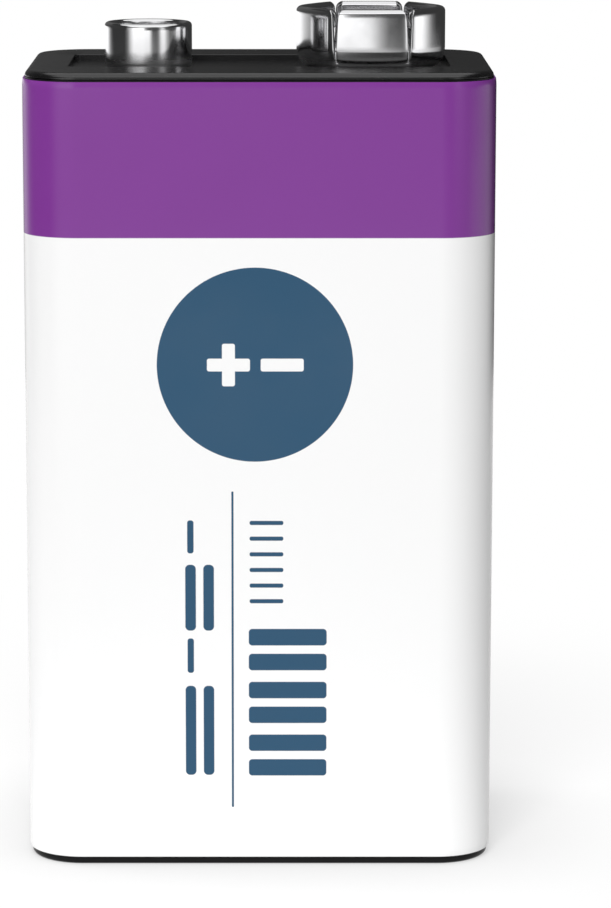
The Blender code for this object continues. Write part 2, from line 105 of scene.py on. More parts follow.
# The negative socket: round in its middle, and fully six-sided from its foot outwards.
SOCKET_X = (SOCKET_LOW.x + SOCKET_HIGH.x) / 2
SOCKET_RADIUS = 4.26 * MM
SOCKET_FLAT = 4.05 * MM
SOCKET_SIDE_BOW = 15.0 * MM
SOCKET_HEIGHT = SOCKET_HIGH.z - SNAP_Z
SOCKET_LIP_RADIUS = 0.3 * MM
SOCKET_HEM = 0.75 * MM
SOCKET_HEM_GAP = 0.05 * MM
SOCKET_FOOT_TURN = 0.96 * MM
SOCKET_FOOT_RISE = 1.25 * MM
SOCKET_FOOT_FULLNESS = 2.2
SOCKET_EDGE_WEAR = 0.03 * MM
SOCKET_ROUND_TO = 0.4 * SOCKET_RADIUS
SOCKET_HEXAGON_FROM = SOCKET_RADIUS - 1.5 * SOCKET_FOOT_TURN

# The socket's corners: the two along X are rounded more, and the other four have the slots.
# A slot is opened out of a strip of faces that is first made the same few degrees wide.
OUTER_CORNER_ROUNDING = 0.33 * MM
OUTER_CORNER_FOCUS = 8
SLOT_CORNER_ROUNDING = 0.14 * MM
SLOT_ANGLES = (61.2, 118.8, 241.2, 298.8)
SLOT_STRIP_ANGLE = 3.0
SLOT_STRIP_TOLERANCE = 1.001
SLOT_TOP_WIDTH = 0.39 * MM
SLOT_FOOT_WIDTH = 0.07 * MM
SLOT_FLOOR = 0.48 * MM
SLOT_FLARE = 0.16 * MM
SLOT_INNER_RADIUS = 0.7 * SOCKET_RADIUS

# The rivets' heads and tails.
RIVET_RADIUS = 0.75 * MM
RIVET_BORE = 0.45 * MM
RIVET_FLANGE_RADIUS = 1.25 * MM
RIVET_FLANGE_THICKNESS = 0.2 * MM
RIVET_ROLL = 0.08 * MM
RIVET_GAP = 0.05 * MM

# Facets: how many go round a corner or a turn, and how many degrees one has in the petals.
# An edge stays sharp from SHARP_FROM degrees on.
CORNER_SEGMENTS = 24
STUD_STEPS = 160
RIVET_STEPS = 96
PETAL_STEP = 1.5
SHARP_FROM = 35
MERGE_REACH = 0.0001 * MM

# The print, in millimetres on the front: x to the right, z up. A bar is half its width, half
# its height and the rounding of its corners.
PRINT_BLUR = 0.03
PRINT_REACH_BACK = 1.5
BAND_FOOT = 36.0
BAND_BLUR = 0.04
DISC_PLACE = (-0.24, 28.88)
DISC_RADIUS = 5.48
PLUS_X = -1.72
MINUS_X = 1.28
LYING_STROKE = (1.2, 0.36, 0.12)
UPRIGHT_STROKE = (0.36, 1.2, 0.12)

# The small print: a rule, three pairs of thick bars, a gauge of thin ones, and two columns.
# A column's bars are each a place in height and half a length.
RULE_PLACE = (-1.511, 12.555)
RULE_BAR = (0.06, 9.145, 0.048)
PAIR_X = 1.6
PAIR_HEIGHTS = (12.6, 9.53, 6.46)
PAIR_SPREAD = 0.72
PAIR_BAR = (2.2, 0.48, 0.2)
GAUGE_TOP = (0.4, 19.9)
GAUGE_PITCH = 0.9
GAUGE_COUNT = 6
GAUGE_BAR = (0.95, 0.12, 0.1)
COLUMNS_X = (-3.88, -2.86)
THIN_BARS = ((19.1, 0.95), (12.25, 1.0))
THIN_HALF_WIDTH = 0.18
THIN_ROUNDING = 0.15
THICK_BARS = ((15.6, 1.9), (7.9, 2.6))
THICK_HALF_WIDTH = 0.3
THICK_ROUNDING = 0.25

# The finishes' colours, linear.
WHITE = (0.87, 0.87, 0.87)
VIOLET = (0.19, 0.035, 0.265)
INK = (0.007, 0.062, 0.13)
BLACK = (0.007, 0.007, 0.0073)
DEEP_BLACK = (0.0035, 0.0035, 0.0037)
BRIGHT_NICKEL = (0.8, 0.8, 0.81)
TIN = (0.7, 0.69, 0.66)
BOARD = (0.02, 0.02, 0.021)
FIBRE = (0.42, 0.3, 0.17)
PAPER = (0.55, 0.45, 0.32)
NICKEL_STRIP = (0.6, 0.58, 0.52)
BRASS = (0.62, 0.5, 0.28)
DRAWN_STEEL = (0.56, 0.57, 0.58)

# The plating is rougher by this much at the cap, and by less and less between these heights
# in millimetres.
DULLNESS = 0.23
DULL_FOOT = (SNAP_Z / MM + 0.2, SNAP_Z / MM + 1.15)

# The camera: where it stands, how far it looks down, and its field of view.
CAMERA_PLACE = (0.70 * MM, -226.87 * MM, 63.65 * MM)
CAMERA_PITCH = 10.344
FRAME_SIZE = (611, 908)
FOCAL_PIXELS = 3959.0
MIDDLE_COLUMN = 271.8
SENSOR = 36.0

# The floor: how bright it is, and how far from the battery its shadow shows.
FLOOR_REACH = 4.0
FLOOR_DROP = 0.01 * MM
FLOOR_SHADE = 0.5
FLOOR_SEEN_SHADE = 0.18
FLOOR_LIFT = 0.76
# How strongly and how near the battery a painted contact shadow dims the floor's glow.
CONTACT_SHADE = 0.36
CONTACT_REACH = 0.008
SHADOW_REACH = (0.015, 0.065)

# The light that comes from all round, and the height that the lamps are turned to.
FULL_WHITE = (1.0, 1.0, 1.0, 1.0)
WORLD_LEVEL = 0.36
LAMP_AIM = 24 * MM

# The panels that the plating shows. Each stop is an angle in degrees, from the front round to
# the right, and how bright the panels are there, as a share of PANEL_WHITE.
SURROUND_RADIUS = 0.17
SURROUND_HEIGHT = 0.235
PANEL_WHITE = 1.4
LOW_LEFT_PANELS = (
    (-180, 0.3), (-150, 0.4), (-138, 0.8), (-128, 0.7), (-114, 0.25), (-100, 0.04), (-58, 0.04),
)
LOW_RIGHT_PANELS = (
    (58, 0.35), (72, 0.7), (85, 0.8), (110, 0.7), (122, 0.3), (134, 0.03), (180, 0.03),
)
FRONT_PANELS = (
    (-64, 0.03), (-55, 0.17), (-47, 0.64), (-39, 1.0), (1, 1.0), (4.4, 0.7), (7.8, 0.3),
    (11.2, 0.06), (18, 0.04), (25, 0.12), (29, 0.39), (33.5, 0.88), (42, 1.0), (51, 0.37),
    (60, 0.04),
)
REAR_LEFT_PANELS = (
    (-180, 0.036), (-175, 0.05), (-171, 0.085), (-150, 0.085), (-110, 0.035), (-60, 0.03),
)
REAR_RIGHT_PANELS = ((110, 0.03), (180, 0.036))
LOWEST_PANELS = (
    *LOW_LEFT_PANELS,
    (-42, 1.0), (5, 1.0), (22, 0.45), (45, 0.4),
    *LOW_RIGHT_PANELS,
)

# The bands above the lowest panels: where each starts, how softly, and its own panels.
PANEL_BANDS = (
    (0.011, 0.002, (
        *LOW_LEFT_PANELS,
        (-42, 0.45), (5, 0.45), (22, 0.2), (45, 0.3),
        *LOW_RIGHT_PANELS,
    )),
    (0.0318, 0.002, (
        (-180, 0.8), (-145, 1.0), (-131, 0.85), (-122, 0.4), (-116, 0.15), (-106, 0.03),
        *FRONT_PANELS,
        (72, 0.1), (96, 1.0), (110, 1.0), (114.5, 0.5), (118, 0.13), (122, 0.03),
        (175, 0.03), (180, 0.8),
    )),
    (0.041, 0.002, (
        *REAR_LEFT_PANELS,
        (-46, 0.6), (-38, 1.1), (-15, 1.1), (-7, 0.2), (0, 0.06), (26, 0.06), (37, 0.6),
        (48, 0.06),
        *REAR_RIGHT_PANELS,
    )),
    (0.068, 0.006, (
        *REAR_LEFT_PANELS,
        (-46, 0.15), (-36, 0.2), (-24, 0.5), (-14, 0.5), (-6, 0.25), (4, 0.15), (11, 0.06),
        (24, 0.1), (36, 0.5), (48, 0.1), (60, 0.03),
        *REAR_RIGHT_PANELS,
    )),
    (0.15, 0.004, (
        (-180, 0.03), (-70, 0.03), (-55, 1.0), (55, 1.0), (70, 0.03), (180, 0.03),
    )),
)


class Value:
    """A socket in a node tree, in sums that add their own Math nodes."""

    def __init__(self, tree, socket):
        self.tree = tree
        self.socket = socket

    def math(self, operation, *others):
        """Adds a Math node that starts from this value."""
        return self.tree.node("Math", self, *others, settings={"operation": operation})

    def __add__(self, other):
        return self.math("ADD", other)

    def __sub__(self, other):
        return self.math("SUBTRACT", other)

    def __rsub__(self, other):
        return self.tree.node("Math", other, self, settings={"operation": "SUBTRACT"})

    def __mul__(self, other):
        return self.math("MULTIPLY", other)

    def __abs__(self):
        return self.math("ABSOLUTE")

    def __lt__(self, other):
        return self.math("LESS_THAN", other)

    __radd__ = __add__
    __rmul__ = __mul__

    def outputs(self):
        """All the outputs of the node that this one comes from."""
        return [Value(self.tree, socket) for socket in self.socket.node.outputs]


class Tree:
    """A node tree that is written top down: a node's settings first, then its sockets."""

    def __init__(self, tree):
        self.nodes = tree.nodes
        self.links = tree.links

    def fill(self, socket, value):
        """Links a value to a socket, or sets a number or a colour there."""
        if isinstance(value, Value):
            self.links.new(value.socket, socket)
        else:
            socket.default_value = value

    def node(self, kind, *values, settings=None, sockets=None, output=0):
        """Adds a node. The values fill its first sockets, and the others go by name or place."""
        made = self.nodes.new("ShaderNode" + kind)
        for name, value in (settings or {}).items():
            if name == "stops":
                set_stops(made.color_ramp, value)
            else:
                setattr(made, name, value)
        for key, value in [*enumerate(values), *(sockets or {}).items()]:
            self.fill(made.inputs[key], value)
        return Value(self, made.outputs[output])

    def show(self, light):
        """Makes this shader the one that the material's surface has."""
        self.fill(self.nodes["Material Output"].inputs["Surface"], light)


def set_stops(ramp, stops):
    """Gives a ramp these places and grey levels."""
    while len(ramp.elements) < len(stops):
        ramp.elements.new(0.5)
    for element, (place, level) in zip(ramp.elements, stops):
        element.position = place
        element.color = (level, level, level, 1.0)


class Finish(Tree):
    """A material under way: constants go on the shader, patterns are linked to it."""

    def __init__(self, name, colour, constants):
        self.material = bpy.data.materials.new(name)
        self.material.use_nodes = True
        super().__init__(self.material.node_tree)
        self.shader = self.nodes["Principled BSDF"]
        self.put("Base Color", opaque(colour))
        for socket, value in constants.items():
            self.put(socket, value)
        self.place = self.node("TexCoord", output="Object")

    def put(self, socket, value):
        """Fills a socket of the shader."""
        self.fill(self.shader.inputs[socket], value)

    def axes(self):
        """How far each point is along X, Y and Z, in millimetres."""
        return [part * (1 / MM) for part in self.node("SeparateXYZ", self.place).outputs()]

    def noise(self, scale, detail=2.0, stretch=(1.0, 1.0, 1.0)):
        """Smooth noise whose features are about 1 / scale of a metre wide."""
        place = self.node("Mapping", self.place, sockets={"Scale": stretch})
        sizes = {"Scale": scale, "Detail": detail}
        return self.node("TexNoise", place, sockets=sizes)

    def spread(self, field, low, high):
        """Brings the middle of a noise field to a range of values."""
        sizes = {"From Min": 0.3, "From Max": 0.7, "To Min": low, "To Max": high}
        return self.node("MapRange", field, sockets=sizes)

    def mix(self, share, first, second):
        """Blends two colours. A Mix node has them at 6 and 7, and the blend at 2."""
        colours = {"data_type": "RGBA"}
        return self.node("Mix", share, settings=colours, sockets={6: first, 7: second}, output=2)

    def relief(self, height, depth):
        """Bumps the surface by a height field, at this depth in metres."""
        sizes = {"Height": height, "Distance": depth}
        self.put("Normal", self.node("Bump", sockets=sizes))


def opaque(colour):
    return (*colour, 1.0)


def any_of(masks):
    """Where at least one of these masks shows."""
    joined = masks[0]
    for mask in masks[1:]:
        joined = joined.math("MAXIMUM", mask)
    return joined


def ramp_up(field, start, end):
    """0 before the start and 1 past the end, smoothly."""
    edges = {"From Min": start, "From Max": end}
    smooth = {"interpolation_type": "SMOOTHSTEP"}
    return field.tree.node("MapRange", field, settings=smooth, sockets=edges)


def length(across, along):
    """How far off a point is that lies this far across and along."""
    return (across * across + along * along).math("SQRT")


def edge(distance, blur=PRINT_BLUR):
    """1 inside a shape and 0 outside, from the signed distance to it in millimetres."""
    settings = {"operation": "ADD", "use_clamp": True}
    return distance.tree.node("Math", distance * (-1 / blur), 0.5, settings=settings)


def bar(x, z, place, size):
    """A bar with rounded corners, as a mask on the front."""
    half_x, half_z, rounding = size
    across = (abs(x - place[0]) - (half_x - rounding)).math("MAXIMUM", 0.0)
    along = (abs(z - place[1]) - (half_z - rounding)).math("MAXIMUM", 0.0)
    return edge(length(across, along) - rounding)


def disc_marks():
    """A plus and a minus, each on the side of its own pole."""
    plus = (PLUS_X, DISC_PLACE[1])
    minus = (MINUS_X, DISC_PLACE[1])
    return [(plus, LYING_STROKE), (plus, UPRIGHT_STROKE), (minus, LYING_STROKE)]


def small_print():
    """Plain shapes, each as its place and its bar."""
    blocks = [(RULE_PLACE, RULE_BAR)]
    for height in PAIR_HEIGHTS:
        for step in (-PAIR_SPREAD, PAIR_SPREAD):
            blocks.append(((PAIR_X, height + step), PAIR_BAR))
    for i in range(GAUGE_COUNT):
        blocks.append(((GAUGE_TOP[0], GAUGE_TOP[1] - GAUGE_PITCH * i), GAUGE_BAR))
    for height, half in THIN_BARS:
        blocks.append(((COLUMNS_X[0], height), (THIN_HALF_WIDTH, half, THIN_ROUNDING)))
    for height, half in THICK_BARS:
        for x in COLUMNS_X:
            blocks.append(((x, height), (THICK_HALF_WIDTH, half, THICK_ROUNDING)))
    return blocks


def front_ink(x, z):
    """Where the front is printed dark: the disc round its two marks, and the small print."""
    disc = edge(length(x - DISC_PLACE[0], z - DISC_PLACE[1]) - DISC_RADIUS)
    marks = any_of([bar(x, z, *mark) for mark in disc_marks()])
    blocks = [bar(x, z, *block) for block in small_print()]
    return any_of([disc * (1 - marks), *blocks])


def printed_film():
    """Glossy shrink film: white, a violet head, and the print in dark blue and white."""
    film = Finish("printed_film", WHITE, {"Roughness": 0.2, "IOR": 1.5})
    x, y, z = film.axes()
    front = y < PRINT_REACH_BACK - DEPTH / MM / 2
    head = edge(BAND_FOOT - z, BAND_BLUR)
    colour = film.mix(head, opaque(WHITE), opaque(VIOLET))
    film.put("Base Color", film.mix(front_ink(x, z) * front, colour, opaque(INK)))
    film.put("Roughness", film.spread(film.noise(scale=260.0), low=0.16, high=0.24))
    film.relief(film.noise(scale=150.0, detail=1.0), depth=0.004 * MM)
    return film.material


def gloss_black(name, colour, roughness, index):
    """Black moulding or lacquer with a very fine grain in its gloss."""
    black = Finish(name, colour, {"Roughness": roughness, "IOR": index})
    grain = black.noise(scale=2600.0, detail=3.0)
    black.put("Roughness", black.spread(grain, low=roughness - 0.015, high=roughness + 0.02))
    black.relief(grain, depth=0.0001 * MM)
    return black.material


def plating(name, colour, roughness):
    """Bright plating over drawn sheet: faint upright draw marks, haze and a dull foot."""
    bright = Finish(name, colour, {"Metallic": 1.0, "Roughness": roughness})
    haze = bright.noise(scale=700.0, detail=3.0)
    draw = bright.noise(scale=900.0, stretch=(1.0, 1.0, 0.12))
    level = haze * 0.6 + draw * 0.4
    hazy = bright.spread(level, low=roughness - 0.03, high=roughness + 0.05)
    dull = 1 - ramp_up(bright.axes()[2], *DULL_FOOT)
    bright.put("Roughness", hazy + dull * DULLNESS)
    bright.relief(draw, depth=0.0005 * MM)
    return bright.material


def plain(name, colour, constants, scale, depth):
    """A finish for what is inside: even, with a little grain."""
    finish = Finish(name, colour, constants)
    grain = finish.noise(scale, detail=4.0)
    rough = constants["Roughness"]
    finish.put("Roughness", finish.spread(grain, low=rough - 0.08, high=rough + 0.08))
    shade = tuple(0.8 * part for part in colour)
    finish.put("Base Color", finish.mix(grain, opaque(shade), opaque(colour)))
    finish.relief(grain, depth)
    return finish.material


def new_thing(name, bm, finish):
    """Puts a bmesh into the scene in this finish."""
    mesh = bpy.data.meshes.new(name)
    bm.to_mesh(mesh)
    bm.free()
    mesh.materials.append(finish)
    thing = bpy.data.objects.new(name, mesh)
    bpy.context.scene.collection.objects.link(thing)
    return thing


def new_piece(name, bm, finish, slot, *nodes):
    """Hands a bmesh over to a piece that stands for these CAD nodes."""
    piece = new_thing(name, bm, finish)
    piece.data.shade_smooth()
    piece.data.set_sharp_from_angle(angle=math.radians(SHARP_FROM))
    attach(piece, "root")
    if nodes:
        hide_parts(*nodes)
    return piece


def even_shading(piece):
    """Keeps flat faces flat in the gloss, beside edges that are rounded."""
    weighted = piece.modifiers.new("Even shading", "WEIGHTED_NORMAL")
    weighted.mode = "FACE_AREA"
    weighted.weight = 50
    weighted.keep_sharp = True


def clean(bm):
    """Merges points that lie in one place, and turns the faces outwards."""
    bmesh.ops.remove_doubles(bm, verts=list(bm.verts), dist=MERGE_REACH)
    bmesh.ops.recalc_face_normals(bm, faces=list(bm.faces))


def even_shares(steps):
    """Even steps from 0 to 1, with both ends."""
    return [i / steps for i in range(steps + 1)]


def arc(centre, radii, start, end, steps, fullness=2.0):
    """Points on part of an ellipse, the angles in degrees. Past 2.0 it fills its corner more."""
    points = []
    for share in even_shares(steps):
        angle = math.radians(start + (end - start) * share)
        across, up = [
            math.copysign(abs(part) ** (2.0 / fullness), part)
            for part in (math.cos(angle), math.sin(angle))
        ]
        points.append((centre[0] + radii[0] * across, centre[1] + radii[1] * up))
    return points


def straight(start, end, steps):
    """Points between two others, so that a wall's own faces keep it looking flat."""
    shares = even_shares(steps)[1:-1]
    return [tuple(a + (b - a) * share for a, b in zip(start, end)) for share in shares]


def rounded_rectangle(bm, width, depth, radius, segments, z):
    """A flat face with rounded corners."""
    size = Matrix.Diagonal((width, depth, 1.0, 1.0))
    place = Matrix.Translation((0.0, 0.0, z))
    bmesh.ops.create_grid(bm, x_segments=1, y_segments=1, size=0.5, matrix=place @ size)
    bmesh.ops.bevel(
        bm,
        geom=list(bm.verts),
        offset=radius,
        segments=segments,
        profile=0.5,
        affect="VERTICES",
        material=-1,
    )


def ring_at(inset, z):
    """A ring this far inside the battery's outline: half length, half width, corner, height."""
    return (WIDTH / 2 - inset, DEPTH / 2 - inset, CORNER_RADIUS - inset, z)


def move_ring(verts, old, new):
    """Brings the points of one ring to another, each at its own place in its corner."""
    for vert in verts:
        across = math.copysign(1.0, vert.co.x)
        along = math.copysign(1.0, vert.co.y)
        core = Vector((across * (old[0] - old[2]), along * (old[1] - old[2])))
        out = (vert.co.xy - core).normalized() * new[2]
        vert.co.x = across * (new[0] - new[2]) + out.x
        vert.co.y = along * (new[1] - new[2]) + out.y
        vert.co.z = new[3]


def drawn(rings, closed=True):
    """A skin drawn through rings. Closed, its last ring meets its first one."""
    bm = bmesh.new()
    half_length, half_width, radius, z = rings[0]
    rounded_rectangle(bm, 2 * half_length, 2 * half_width, radius, CORNER_SEGMENTS, z)
    if closed:
        bmesh.ops.delete(bm, geom=list(bm.faces), context="FACES_ONLY")
    edges = list(bm.edges)
    steps = rings + rings[:1] if closed else rings
    for old, new in zip(steps, steps[1:]):
        made = bmesh.ops.extrude_edge_only(bm, edges=edges)["geom"]
        moved = {part for part in made if isinstance(part, bmesh.types.BMVert)}
        move_ring(moved, old, new)
        edges = [part for part in made if isinstance(part, bmesh.types.BMEdge)]
        edges = [part for part in edges if set(part.verts) <= moved]
    if not closed:
        bmesh.ops.contextual_create(bm, geom=edges)
    clean(bm)
    return bm


def make_label(finish):
    """The film, wrapped round the case and leaning in at its shoulders."""
    low, high = LABEL_LOW.z, LABEL_HIGH.z
    leans = [(FILM_SHOULDER_LEAN * s * s, FILM_SHOULDER * s) for s in even_shares(steps=6)]
    side = [(lean, low + FILM_SHOULDER - rise) for lean, rise in reversed(leans)]
    side += [(lean, high - FILM_SHOULDER + rise) for lean, rise in leans]
    inner = [(lean + FILM, z) for lean, z in reversed(side)]
    bm = drawn([ring_at(*point) for point in side + inner])
    even_shading(new_piece("printed_label", bm, finish, "label_film", "label_sleeve"))


def make_lap(finish):
    """The lap at the back, where the film's two ends meet."""
    bm = bmesh.new()
    low, high = LABEL_LOW.z + FILM_SHOULDER, LABEL_HIGH.z - FILM_SHOULDER
    middle = DEPTH / 2 + LAP_STANDS_OUT - LAP_THICKNESS / 2
    size = Matrix.Diagonal((LAP_WIDTH, LAP_THICKNESS, high - low, 1.0))
    place = Matrix.Translation((0.0, middle, (low + high) / 2))
    bmesh.ops.create_cube(bm, size=1.0, matrix=place @ size)
    upright = [e for e in bm.edges if abs(e.verts[0].co.z - e.verts[1].co.z) > MM]
    bmesh.ops.bevel(
        bm,
        geom=upright,
        offset=LAP_ROUNDING,
        segments=3,
        profile=0.5,
        affect="EDGES",
        material=-1,
    )
    even_shading(new_piece("label_lap", bm, finish, "label_film"))


def make_case(finish):
    """The lacquered case, finer at its bends than the frame's."""
    inner = CASE_INSET + CASE_SHEET
    lip = CASE_INSET + CASE_LIP
    centre = (CASE_INSET + CASE_BEND, CASE_BEND)
    bend = CASE_BEND - CASE_SHEET
    high = CASE_HIGH.z
    profile = [(CASE_INSET, high)]
    profile += arc(centre, (CASE_BEND, CASE_BEND), 180, 270, steps=6)
    profile += [(lip, 0.0), (lip, CASE_SHEET)]
    profile += arc(centre, (bend, bend), 270, 180, steps=3)
    profile += [(inner, high)]
    bm = drawn([ring_at(*point) for point in profile])
    even_shading(new_piece("lacquered_case", bm, finish, "case_lacquer", "case_sleeve"))


def make_cap(finish):
    """The cap: a rounded rim, and a shallow recess with softened edges."""
    rim = CAP_RIM_RADIUS
    under = CAP_TOP - CAP_FLANGE
    side = [(CASE_INSET + CAP_SKIRT_INSET, under), (CASE_INSET, under)]
    side += arc((CASE_INSET + rim, CAP_TOP - rim), (rim, rim), 180, 90, steps=10)
    side += [(CASE_INSET + rim + CAP_FLAT_MARGIN, CAP_TOP)]
    rings = [ring_at(*point) for point in side]
    soft = (RECESS_EDGE, RECESS_EDGE)
    floor = CAP_TOP - RECESS_DEPTH
    wall = arc((RECESS_EDGE, CAP_TOP - RECESS_EDGE), soft, 90, 180, steps=4)
    wall += arc((-RECESS_EDGE, floor + RECESS_EDGE), soft, 0, -90, steps=4)
    for out, z in wall:
        rings.append((RECESS_LENGTH / 2 + out, RECESS_WIDTH / 2 + out, RECESS_CORNER + out, z))
    bm = drawn(rings, closed=False)
    even_shading(new_piece("moulded_cap", bm, finish, "cap_plastic", "top_cap"))


def turned(profile, steps, place):
    """A closed profile of (r, z) points turned about an upright axis at this x."""
    bm = bmesh.new()
    verts = [bm.verts.new((r, 0.0, z)) for r, z in profile]
    edges = [bm.edges.new(pair) for pair in zip(verts, verts[1:] + verts[:1])]
    bmesh.ops.spin(
        bm,
        geom=verts + edges,
        axis=(0.0, 0.0, 1.0),
        cent=(0.0, 0.0, 0.0),
        angle=math.tau,
        steps=steps,
        use_merge=True,
    )
    clean(bm)
    bmesh.ops.translate(bm, verts=list(bm.verts), vec=(place, 0.0, SNAP_Z))
    return bm


def make_stud(finish):
    """The positive snap: its rim rolls inwards and drops into a deep dish."""
    lip = STUD_LIP_RADIUS
    bend = lip - SNAP_SHEET
    floor = STUD_DISH_FLOOR
    fillet = STUD_DISH_FILLET
    dish = STUD_RADIUS - 2 * lip
    crest = (STUD_RADIUS - lip, STUD_HEIGHT - lip)
    heel = (STUD_RADIUS - STUD_FOOT_TURN, STUD_FOOT_RISE)
    outside = (STUD_FOOT_TURN, STUD_FOOT_RISE)
    inside = (STUD_FOOT_TURN - SNAP_SHEET, STUD_FOOT_RISE - SNAP_SHEET)
    profile = [(RIVET_HOLE, floor)]
    profile += arc((dish - fillet, floor + fillet), (fillet, fillet), -90, 0, steps=6)
    profile += arc(crest, (lip, lip), 180, 0, steps=16)
    profile += straight((STUD_RADIUS, crest[1]), (STUD_RADIUS, heel[1]), steps=10)
    profile += arc(heel, outside, 0, -90, steps=24, fullness=STUD_FOOT_FULLNESS)
    profile += [(heel[0] - SNAP_SHEET, 0.0)]
    profile += arc(heel, inside, -90, 0, steps=8, fullness=STUD_FOOT_FULLNESS)
    profile += arc(crest, (bend, bend), 0, 180, steps=6)
    profile += [(dish + SNAP_SHEET, floor - SNAP_SHEET), (RIVET_HOLE, floor - SNAP_SHEET)]
    bm = turned(profile, STUD_STEPS, STUD_X)
    even_shading(new_piece("bright_stud", bm, finish, "snap_plating", "positive_snap"))


def make_rivet(name, finish, node, place, head):
    """A hollow rivet with a rolled head and a spread tail."""
    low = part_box(node)[0].z - SNAP_Z
    roll = RIVET_ROLL
    thick = RIVET_FLANGE_THICKNESS
    edge_radii = (thick / 2, thick / 2)
    rim = RIVET_FLANGE_RADIUS - thick / 2
    mouth = head + thick - roll
    profile = [(RIVET_BORE, mouth)]
    profile += arc((RIVET_BORE + roll, mouth), (roll, roll), 180, 90, steps=4)[1:]
    profile += arc((rim, head + thick / 2), edge_radii, 90, -90, steps=8)
    profile += [(RIVET_RADIUS, head), (RIVET_RADIUS, low + thick)]
    profile += arc((rim, low + thick / 2), edge_radii, 90, -90, steps=8)
    profile += [(RIVET_BORE, low)]
    bm = turned(profile, RIVET_STEPS, place)
    new_piece(name, bm, finish, "rivet_plating", node)


def side_distance(turn):
    """How far a bowed side is from the axis, this far round from its own middle."""
    centre = SOCKET_SIDE_BOW - SOCKET_FLAT
    across = centre * math.sin(turn)
    return math.sqrt(SOCKET_SIDE_BOW**2 - across**2) - centre * math.cos(turn)


def hexagon_radius(angle):
    """The socket's wall in plan: six bowed sides, the corners along X widely rounded."""
    outer = abs(math.cos(angle)) ** OUTER_CORNER_FOCUS
    soft = SLOT_CORNER_ROUNDING + (OUTER_CORNER_ROUNDING - SLOT_CORNER_ROUNDING) * outer
    turns = [angle - math.radians(side) for side in range(30, 390, 60)]
    facing = [side_distance(turn) for turn in turns if math.cos(turn) > 0.0]
    near = min(facing)
    return near - soft * math.log(sum(math.exp((near - far) / soft) for far in facing))


def slot_half_width(z):
    """Half of a slot's width at this height: a wedge that flares over the lip."""
    share = (z - SLOT_FLOOR) / (SOCKET_HEIGHT - SLOT_FLOOR)
    width = SLOT_FOOT_WIDTH + (SLOT_TOP_WIDTH - SLOT_FOOT_WIDTH) * share
    lip = max(0.0, (z - SOCKET_HEIGHT + 2 * SOCKET_LIP_RADIUS) / (2 * SOCKET_LIP_RADIUS))
    return width / 2 + SLOT_FLARE * lip**3


def socket_profile():
    """The outer skin of the socket's sheet, from the folded hem to the rivet's hole."""
    lip = SOCKET_LIP_RADIUS
    start = SOCKET_RADIUS - 2 * lip
    lean = 2 * (lip - SNAP_SHEET) - SOCKET_HEM_GAP
    top = SOCKET_HEIGHT - lip
    heel = (SOCKET_RADIUS - SOCKET_FOOT_TURN, SOCKET_FOOT_RISE)
    outside = (SOCKET_FOOT_TURN, SOCKET_FOOT_RISE)
    hem = [(start + lean * s * s, top - SOCKET_HEM * s) for s in even_shares(steps=8)]
    profile = hem[::-1] + arc((SOCKET_RADIUS - lip, top), (lip, lip), 180, 0, steps=18)[1:]
    profile += straight((SOCKET_RADIUS, top), (SOCKET_RADIUS, SOCKET_FOOT_RISE), steps=10)
    profile += arc(heel, outside, 0, -90, steps=24, fullness=SOCKET_FOOT_FULLNESS)
    profile += straight((heel[0], 0.0), (RIVET_HOLE, 0.0), steps=6)
    return profile + [(RIVET_HOLE, 0.0)]


def sweep(bm, geom, angle, steps):
    """Turns a strand of points on about the Z axis and gives back its last copy."""
    return bmesh.ops.spin(
        bm,
        geom=geom,
        axis=(0.0, 0.0, 1.0),
        cent=(0.0, 0.0, 0.0),
        angle=angle,
        steps=steps,
        use_merge=False,
    )["geom_last"]


def in_slot(point):
    """Whether a point is as high and as far out as the slots go."""
    return point.z > SLOT_FLOOR and math.hypot(*point.xy) > SLOT_INNER_RADIUS


def slit_cup(bm, strip):
    """Turns the socket's profile all round, and cuts a slot out of a strip at four corners."""
    strand = [bm.verts.new((r, 0.0, z)) for r, z in socket_profile()]
    edges = [bm.edges.new(pair) for pair in zip(strand, strand[1:])]
    start = math.radians(SLOT_ANGLES[0]) + strip / 2
    bmesh.ops.rotate(bm, verts=strand, matrix=Matrix.Rotation(start, 3, "Z"))
    geom = strand + edges
    strips = set()
    for angle, following in zip(SLOT_ANGLES, SLOT_ANGLES[1:] + (SLOT_ANGLES[0] + 360.0,)):
        wide = following - angle
        geom = sweep(bm, geom, math.radians(wide) - strip, round(wide / PETAL_STEP))
        before = set(bm.faces)
        geom = sweep(bm, geom, strip, steps=2)
        strips |= set(bm.faces) - before
    bmesh.ops.remove_doubles(bm, verts=list(bm.verts), dist=MERGE_REACH)
    strips = [face for face in strips if face.is_valid]
    cut = [face for face in strips if in_slot(face.calc_center_median())]
    bmesh.ops.delete(bm, geom=cut, context="FACES")


def open_slot(vert, made_half):
    """Moves the points beside a slot round the axis, to give it its width there."""
    radius = math.hypot(vert.co.x, vert.co.y)
    if vert.co.z < SLOT_FLOOR or radius < SLOT_INNER_RADIUS:
        return
    angle = math.atan2(vert.co.y, vert.co.x) % math.tau
    wanted = slot_half_width(vert.co.z) / radius
    reach = math.radians(SLOT_ANGLES[1] - SLOT_ANGLES[0]) / 2
    for slot in SLOT_ANGLES:
        off = angle - math.radians(slot)
        if abs(off) < reach:
            if abs(off) <= made_half * SLOT_STRIP_TOLERANCE:
                moved = off * wanted / made_half
            else:
                share = (reach - abs(off)) / (reach - made_half)
                moved = math.copysign(abs(off) + (wanted - made_half) * share, off)
            turn = Matrix.Rotation(moved - off, 3, "Z")
            vert.co = turn @ vert.co
            return


